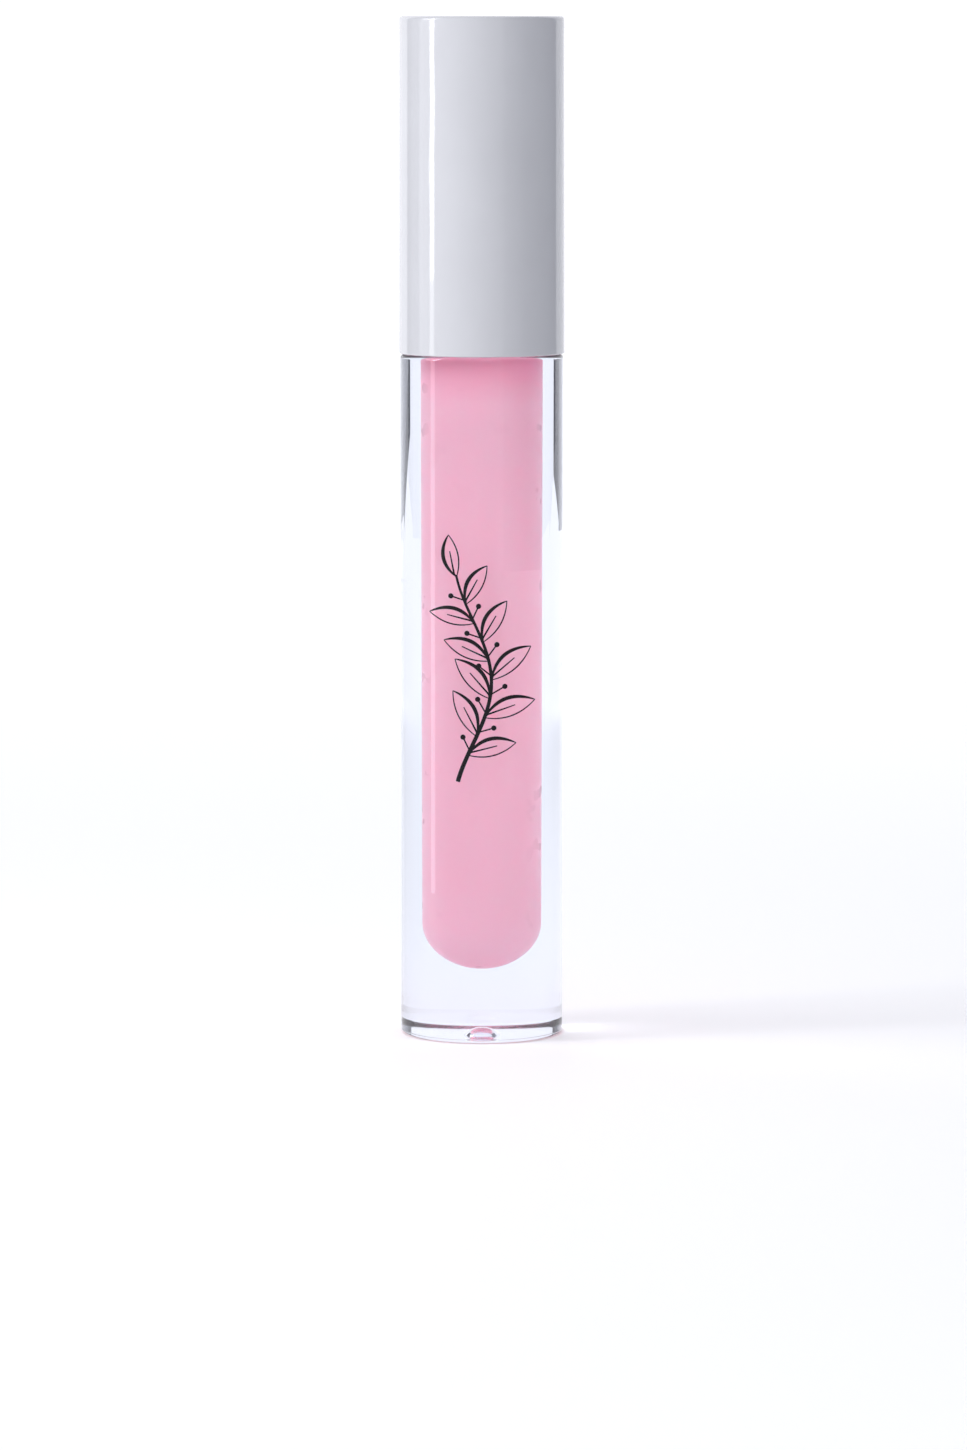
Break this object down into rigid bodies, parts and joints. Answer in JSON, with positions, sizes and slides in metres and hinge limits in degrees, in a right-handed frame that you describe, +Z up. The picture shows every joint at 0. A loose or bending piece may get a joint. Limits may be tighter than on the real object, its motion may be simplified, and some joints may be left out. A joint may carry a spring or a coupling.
{
  "type": "lip gloss tube",
  "caption": "Slim clear lip gloss tube with a tall screw cap, a doe-foot applicator wand and a wiper in the threaded neck.",
  "frame": {"origin": "centre of the base, on the surface that the tube stands on", "axes": "+Z up along the tube's axis; the printed side faces -Y"},
  "size_m": [0.0188, 0.0188, 0.1165],
  "materials": {
    "clear_wall": "crystal clear polished copolyester, thick wall",
    "gloss": "milky pink gel, glossy where it wets the wall",
    "wiper_plastic": "soft natural polyethylene",
    "print_ink": "opaque black pad-print ink",
    "seal_foam": "closed-cell polyethylene foam",
    "stem_plastic": "smooth natural polyethylene",
    "flock": "short nylon flock, wet with gloss",
    "inner_cap_plastic": "satin polypropylene",
    "cap_plastic": "high gloss light cool grey"
  },
  "bodies": {
    "tube": {"bottle": "clear_wall", "gloss_fill": "gloss", "wiper": "wiper_plastic", "sprig_print": "print_ink"},
    "seal": {"seal_washer": "seal_foam"},
    "wand": {"wand_stem": "stem_plastic"},
    "cap": {"cap_shell": "cap_plastic", "inner_cap": "inner_cap_plastic", "tip_core": "stem_plastic", "tip_flock": "flock"}
  },
  "joints": [
    {"name": "lift_off", "type": "slide", "parent": "tube", "child": "seal", "axis": [0, 0, 1], "range_m": [0, 0.088]},
    {"name": "thread_rise", "type": "slide", "parent": "seal", "child": "wand", "axis": [0, 0, 1], "range_m": [0, 0.00375]},
    {"name": "cap_turn", "type": "hinge", "parent": "wand", "child": "cap", "pos_m": [0, 0, 0.09], "axis": [0, 0, 1], "range_deg": [0, 540]}
  ],
  "couplings": [
    {"joint": "thread_rise", "follows": "cap_turn", "m_per_rad": 0.00039789}
  ]
}
